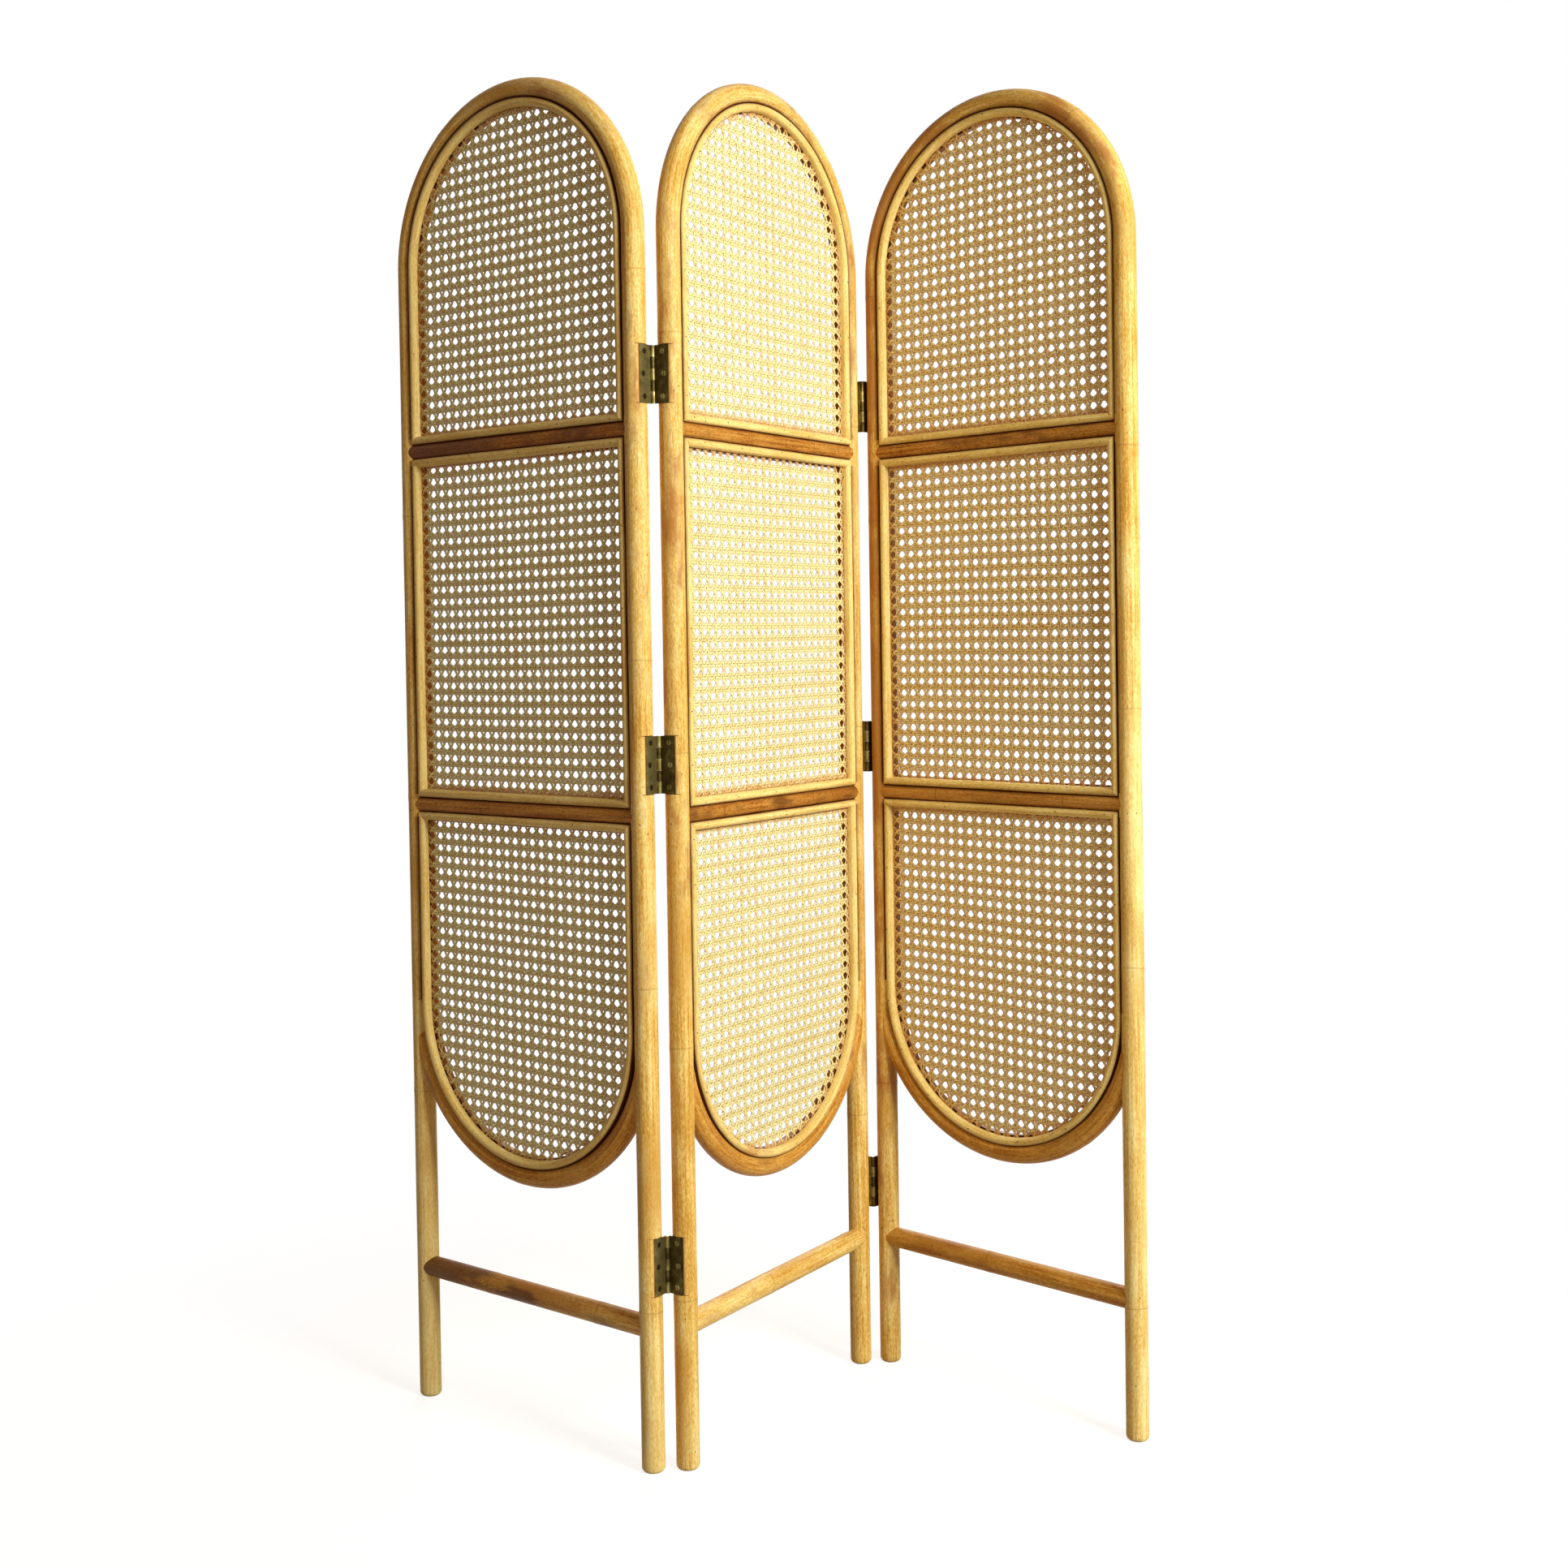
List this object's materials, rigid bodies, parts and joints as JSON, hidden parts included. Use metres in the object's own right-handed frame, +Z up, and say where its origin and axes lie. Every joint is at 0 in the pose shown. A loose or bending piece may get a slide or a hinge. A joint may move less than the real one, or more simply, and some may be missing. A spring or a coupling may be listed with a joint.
{
  "type": "folding screen",
  "caption": "Free-standing folding room screen of arched rattan panels filled with woven cane, joined by brass butt hinges so that it stands in a zigzag or folds flat.",
  "frame": {"origin": "on the floor, under the centre of the screen's box as it stands in the pictured zigzag", "axes": "+Z up; +X to the right as seen from the front; the front, which the picture shows, faces -Y"},
  "size_m": [0.9472, 0.3762, 1.7198],
  "materials": {
    "rattan": "satin honey varnish",
    "dark_rattan": "satin brown varnish",
    "woven_cane": "natural glossy cane",
    "aged_brass": "aged and darkened",
    "nail_steel": "plain"
  },
  "bodies": {
    "left_panel": {"left_arch_bead": "rattan", "left_cane_bottom": "woven_cane", "left_cane_middle": "woven_cane", "left_cane_top": "woven_cane", "left_frame": "rattan", "left_hinge_screws": "aged_brass", "left_joint_low_leaf_left": "aged_brass", "left_joint_mid_leaf_left": "aged_brass", "left_joint_nails": "nail_steel", "left_joint_top_leaf_left": "aged_brass", "left_lower_crossbar": "dark_rattan", "left_lower_rail": "rattan", "left_rail_beads": "rattan", "left_rear_beads": "rattan", "left_stile_beads": "rattan", "left_stretcher": "dark_rattan", "left_u_bead": "rattan", "left_upper_crossbar": "dark_rattan"},
    "middle_panel": {"left_joint_low_leaf_middle": "aged_brass", "left_joint_mid_leaf_middle": "aged_brass", "left_joint_pins": "aged_brass", "left_joint_top_leaf_middle": "aged_brass", "middle_arch_bead": "rattan", "middle_cane_bottom": "woven_cane", "middle_cane_middle": "woven_cane", "middle_cane_top": "woven_cane", "middle_frame": "rattan", "middle_hinge_screws": "aged_brass", "middle_joint_nails": "nail_steel", "middle_lower_crossbar": "dark_rattan", "middle_lower_rail": "rattan", "middle_rail_beads": "rattan", "middle_rear_beads": "rattan", "middle_stile_beads": "rattan", "middle_stretcher": "dark_rattan", "middle_u_bead": "rattan", "middle_upper_crossbar": "dark_rattan", "right_joint_low_leaf_middle": "aged_brass", "right_joint_mid_leaf_middle": "aged_brass", "right_joint_pins": "aged_brass", "right_joint_top_leaf_middle": "aged_brass"},
    "right_panel": {"right_arch_bead": "rattan", "right_cane_bottom": "woven_cane", "right_cane_middle": "woven_cane", "right_cane_top": "woven_cane", "right_frame": "rattan", "right_hinge_screws": "aged_brass", "right_joint_low_leaf_right": "aged_brass", "right_joint_mid_leaf_right": "aged_brass", "right_joint_nails": "nail_steel", "right_joint_top_leaf_right": "aged_brass", "right_lower_crossbar": "dark_rattan", "right_lower_rail": "rattan", "right_rail_beads": "rattan", "right_rear_beads": "rattan", "right_stile_beads": "rattan", "right_stretcher": "dark_rattan", "right_u_bead": "rattan", "right_upper_crossbar": "dark_rattan"}
  },
  "joints": [
    {"name": "left_fold", "type": "hinge", "parent": "middle_panel", "child": "left_panel", "pos_m": [-0.12261, -0.17134, 0], "axis": [0, 0, 1], "range_deg": [-85, 95]},
    {"name": "right_fold", "type": "hinge", "parent": "middle_panel", "child": "right_panel", "pos_m": [0.14596, 0.17318, 0], "axis": [0, 0, 1], "range_deg": [-80, 100]}
  ]
}
